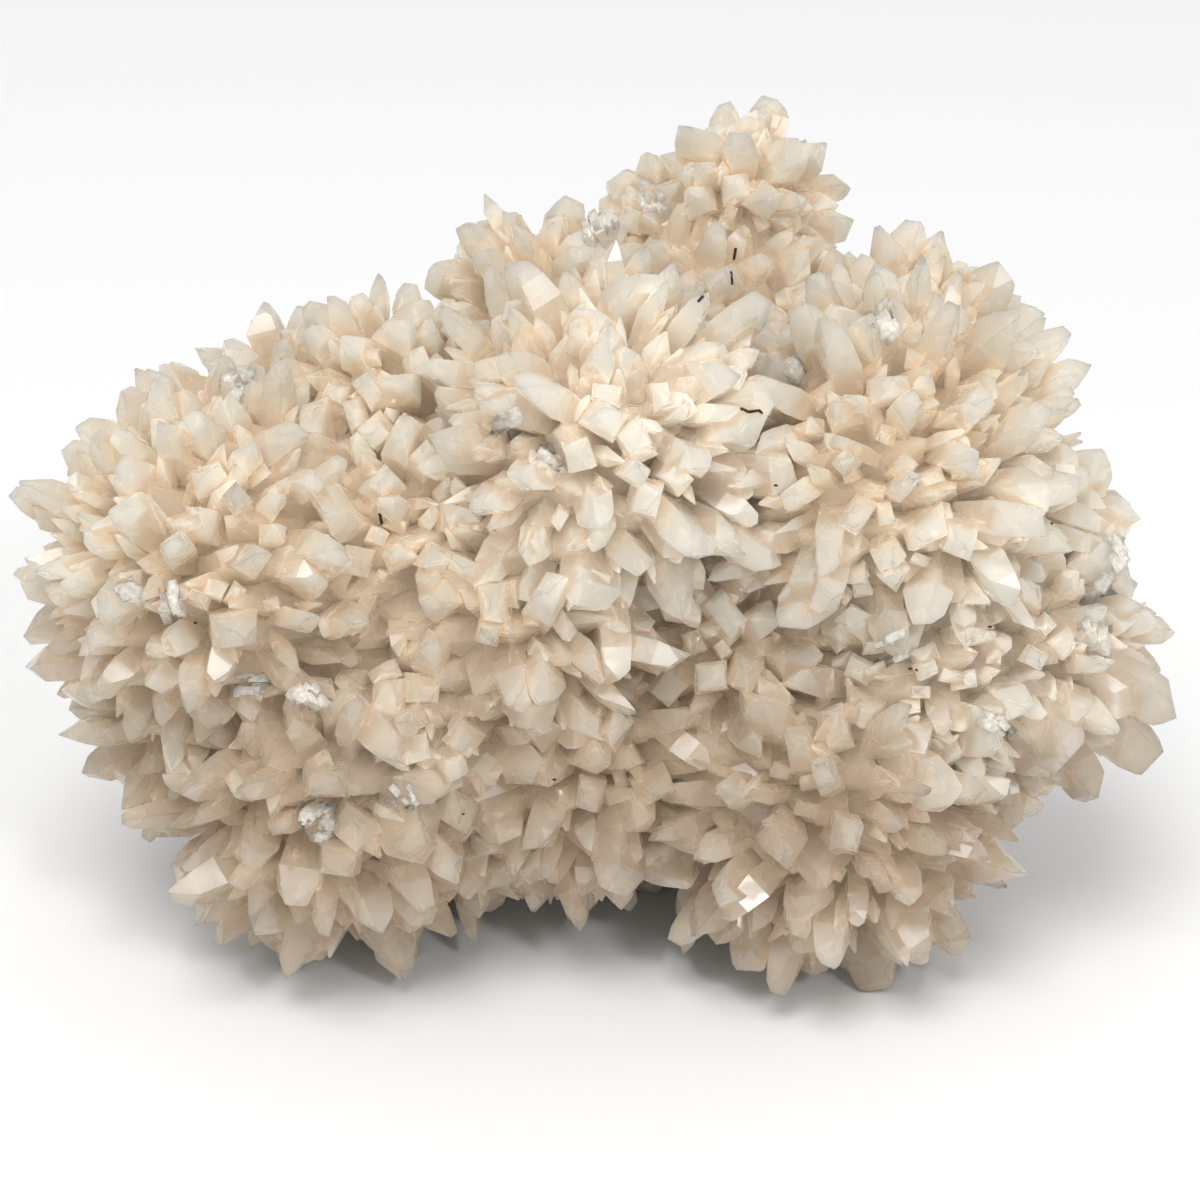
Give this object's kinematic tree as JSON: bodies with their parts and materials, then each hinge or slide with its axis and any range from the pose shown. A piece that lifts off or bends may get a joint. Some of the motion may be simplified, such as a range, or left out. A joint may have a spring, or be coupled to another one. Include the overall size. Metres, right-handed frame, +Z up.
{
  "type": "calcite crystal cluster",
  "caption": "Milky cream dog-tooth calcite: rounded lobes grown together, covered all over with blunt crystals, lying on a small broken flat spot.",
  "frame": {"origin": "middle of the flat resting spot underneath", "axes": "+Z up, +X to the right of the showy face, which looks towards -Y and leans back"},
  "size_m": [0.2997, 0.1792, 0.2008],
  "materials": {
    "calcite": "satin"
  },
  "bodies": {
    "root": {"calcite_cluster": "calcite"}
  },
  "joints": []
}
